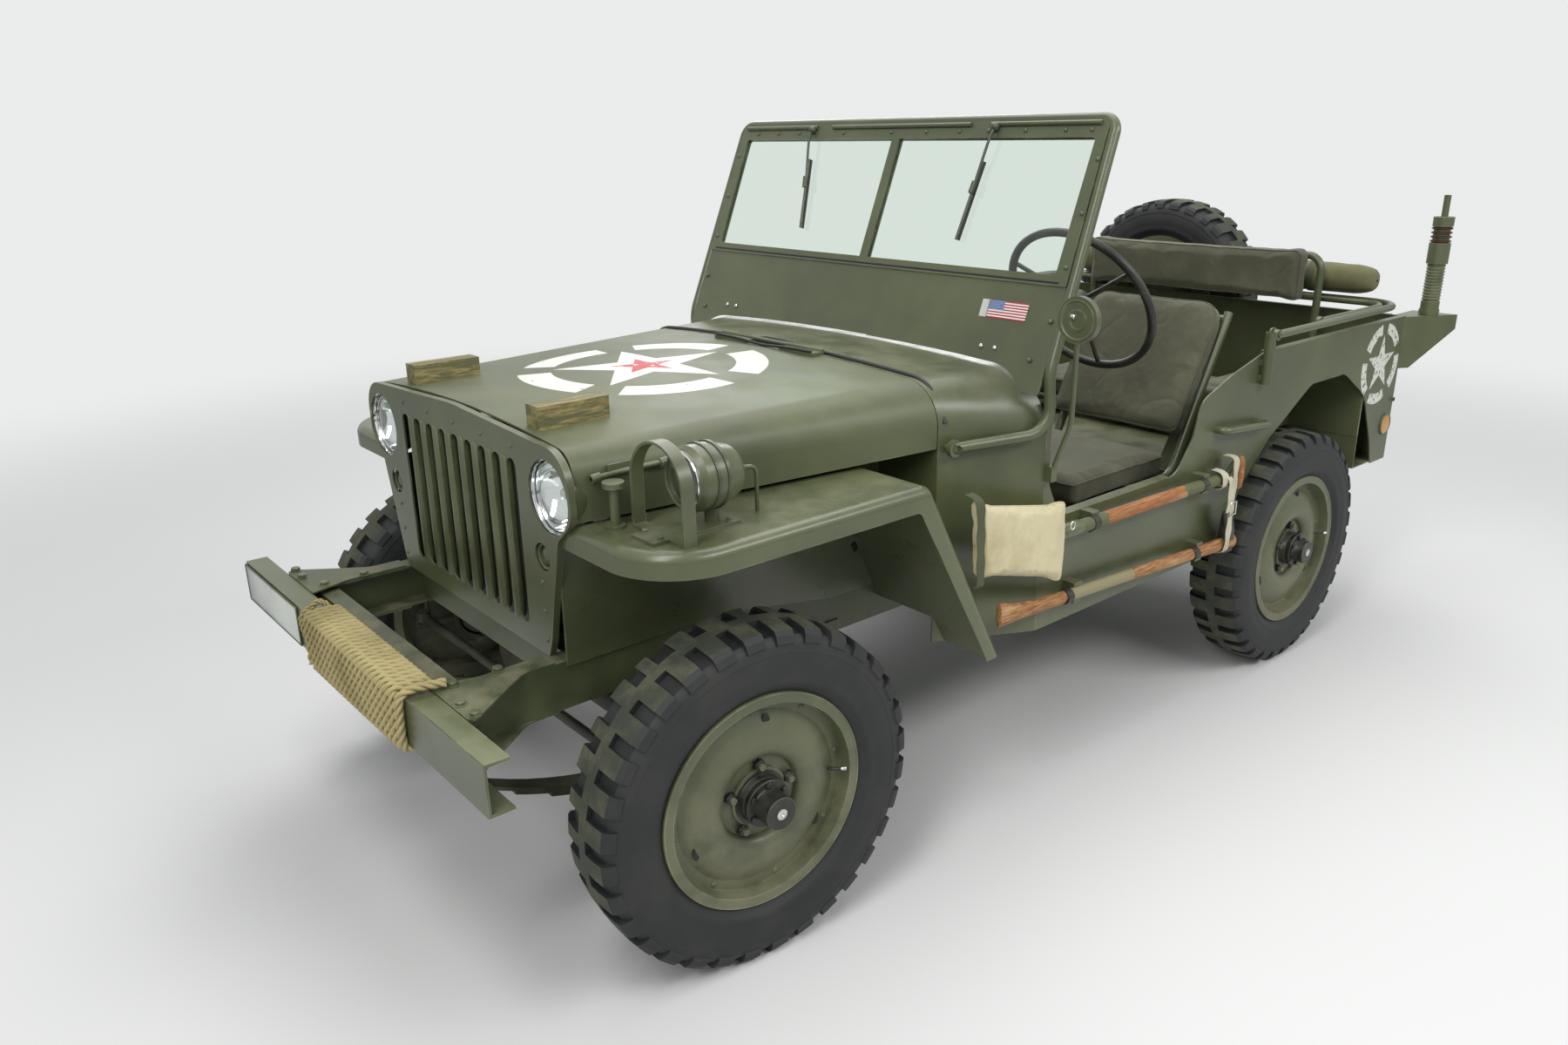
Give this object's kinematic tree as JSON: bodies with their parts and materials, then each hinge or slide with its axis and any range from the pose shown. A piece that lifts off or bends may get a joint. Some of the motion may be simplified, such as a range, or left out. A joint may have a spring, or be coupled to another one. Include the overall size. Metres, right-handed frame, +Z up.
{
  "type": "army 4x4 car",
  "caption": "Open army car with a folding windshield, opening hood, steered front wheels, folding seats and stowed canvas top.",
  "frame": {"origin": "on the ground under the middle of the car's length and width", "axes": "+X to the car's left, +Y to its rear, +Z up; the front looks along -Y"},
  "size_m": [1.5171, 3.419, 1.586],
  "materials": {
    "olive_paint": "matte olive",
    "chassis_paint": "matte, dusty",
    "dark_paint": "semi-matte",
    "engine": "rough",
    "bare_steel": "heat-stained",
    "lamp": "matte olive",
    "glass": "clear",
    "tyre": "dusty tread",
    "seat_canvas": "cotton duck",
    "bag_canvas": "faded canvas",
    "rope": "twisted hemp",
    "tool_wood": "varnished, worn",
    "block_wood": "painted, worn",
    "steering_rim": "worn"
  },
  "bodies": {
    "chassis": {"frame": "chassis_paint", "leaf_springs": "chassis_paint", "front_axle": "chassis_paint", "rear_axle": "chassis_paint", "engine": "engine", "prop_shafts": "chassis_paint", "exhaust": "bare_steel", "radiator": "dark_paint", "bumpers": "olive_paint", "bumper_rope": "rope", "floor": "olive_paint", "body_sides": "olive_paint", "wheel_houses": "olive_paint", "rear_panel": "olive_paint", "cowl": "olive_paint", "fenders": "olive_paint", "grille": "olive_paint", "lamps": "lamp", "drive_lamp": "olive_paint", "controls": "dark_paint", "fuel_tank": "olive_paint", "fixed_seat_frames": "olive_paint", "fixed_cushions": "seat_canvas", "body_fittings": "olive_paint", "antenna_mount": "olive_paint", "spare_rim": "olive_paint", "spare_tyre": "tyre", "side_mirror": "olive_paint", "tools": "tool_wood", "canvas_bag": "bag_canvas"},
    "knuckle_left": {"knuckle_left": "chassis_paint"},
    "knuckle_right": {"knuckle_right": "chassis_paint"},
    "tie_rod": {"tie_rod": "chassis_paint"},
    "front_wheel_left": {"front_rim_left": "olive_paint", "front_tyre_left": "tyre"},
    "front_wheel_right": {"front_rim_right": "olive_paint", "front_tyre_right": "tyre"},
    "rear_wheel_left": {"rear_rim_left": "olive_paint", "rear_tyre_left": "tyre"},
    "rear_wheel_right": {"rear_rim_right": "olive_paint", "rear_tyre_right": "tyre"},
    "steering_wheel": {"steering_wheel": "steering_rim"},
    "hood": {"hood": "olive_paint", "hood_blocks": "block_wood"},
    "windshield": {"windshield_frame": "olive_paint", "windshield_glass": "glass"},
    "passenger_seat": {"passenger_seat_frame": "olive_paint", "passenger_cushions": "seat_canvas"},
    "rear_seat": {"rear_seat_base": "olive_paint", "rear_seat_cushion": "seat_canvas"},
    "front_bow": {"front_bow": "olive_paint", "canvas_roll": "seat_canvas"},
    "rear_bow": {"rear_bow": "olive_paint"}
  },
  "joints": [
    {"name": "steer_left", "type": "hinge", "parent": "chassis", "child": "knuckle_left", "pos_m": [0.54, -1.1655, 0.352], "axis": [0, 0, 1], "range_deg": [-20, 30]},
    {"name": "steer_right", "type": "hinge", "parent": "chassis", "child": "knuckle_right", "pos_m": [-0.54, -1.1655, 0.352], "axis": [0, 0, 1], "range_deg": [-20, 30]},
    {"name": "tie_rod_swivel", "type": "hinge", "parent": "knuckle_left", "child": "tie_rod", "pos_m": [0.52693, -1.31493, 0.372], "axis": [0, 0, 1], "range_deg": [-30, 20]},
    {"name": "steering_wheel_turn", "type": "hinge", "parent": "chassis", "child": "steering_wheel", "pos_m": [0.36, 0.1675, 1.123], "axis": [0, 0.866, 0.5], "range_deg": [-240, 360]},
    {"name": "front_spin_left", "type": "hinge", "parent": "knuckle_left", "child": "front_wheel_left", "pos_m": [0.62468, -1.17291, 0.352], "axis": [0.9962, -0.0872, 0], "continuous": true},
    {"name": "front_spin_right", "type": "hinge", "parent": "knuckle_right", "child": "front_wheel_right", "pos_m": [-0.62468, -1.15809, 0.352], "axis": [0.9962, -0.0872, 0], "continuous": true},
    {"name": "rear_spin_left", "type": "hinge", "parent": "chassis", "child": "rear_wheel_left", "pos_m": [0.625, 0.8665, 0.352], "axis": [1, 0, 0], "continuous": true},
    {"name": "rear_spin_right", "type": "hinge", "parent": "chassis", "child": "rear_wheel_right", "pos_m": [-0.625, 0.8665, 0.352], "axis": [1, 0, 0], "continuous": true},
    {"name": "hood_open", "type": "hinge", "parent": "chassis", "child": "hood", "pos_m": [0, -0.5765, 1.07], "axis": [1, 0, 0], "range_deg": [-112, 0]},
    {"name": "windshield_fold", "type": "hinge", "parent": "chassis", "child": "windshield", "pos_m": [0, -0.5535, 0.908], "axis": [1, 0, 0], "range_deg": [0, 108.5]},
    {"name": "passenger_seat_tip", "type": "hinge", "parent": "chassis", "child": "passenger_seat", "pos_m": [-0.3, -0.0005, 0.58], "axis": [1, 0, 0], "range_deg": [0, 60]},
    {"name": "rear_seat_fold", "type": "hinge", "parent": "chassis", "child": "rear_seat", "pos_m": [0, 1.2765, 0.668], "axis": [1, 0, 0], "range_deg": [-74, 0]},
    {"name": "top_bow_raise", "type": "hinge", "parent": "chassis", "child": "front_bow", "pos_m": [0, 0.6745, 1.012], "axis": [1, 0, 0], "range_deg": [0, 90]},
    {"name": "rear_bow_swing", "type": "hinge", "parent": "front_bow", "child": "rear_bow", "pos_m": [0, 0.9745, 1.012], "axis": [1, 0, 0], "range_deg": [-40.5, 0]}
  ],
  "couplings": [
    {"joint": "steer_right", "follows": "steer_left", "ratio": 1},
    {"joint": "tie_rod_swivel", "follows": "steer_left", "ratio": -1},
    {"joint": "steering_wheel_turn", "follows": "steer_left", "ratio": 12},
    {"joint": "rear_bow_swing", "follows": "top_bow_raise", "ratio": -0.45}
  ]
}
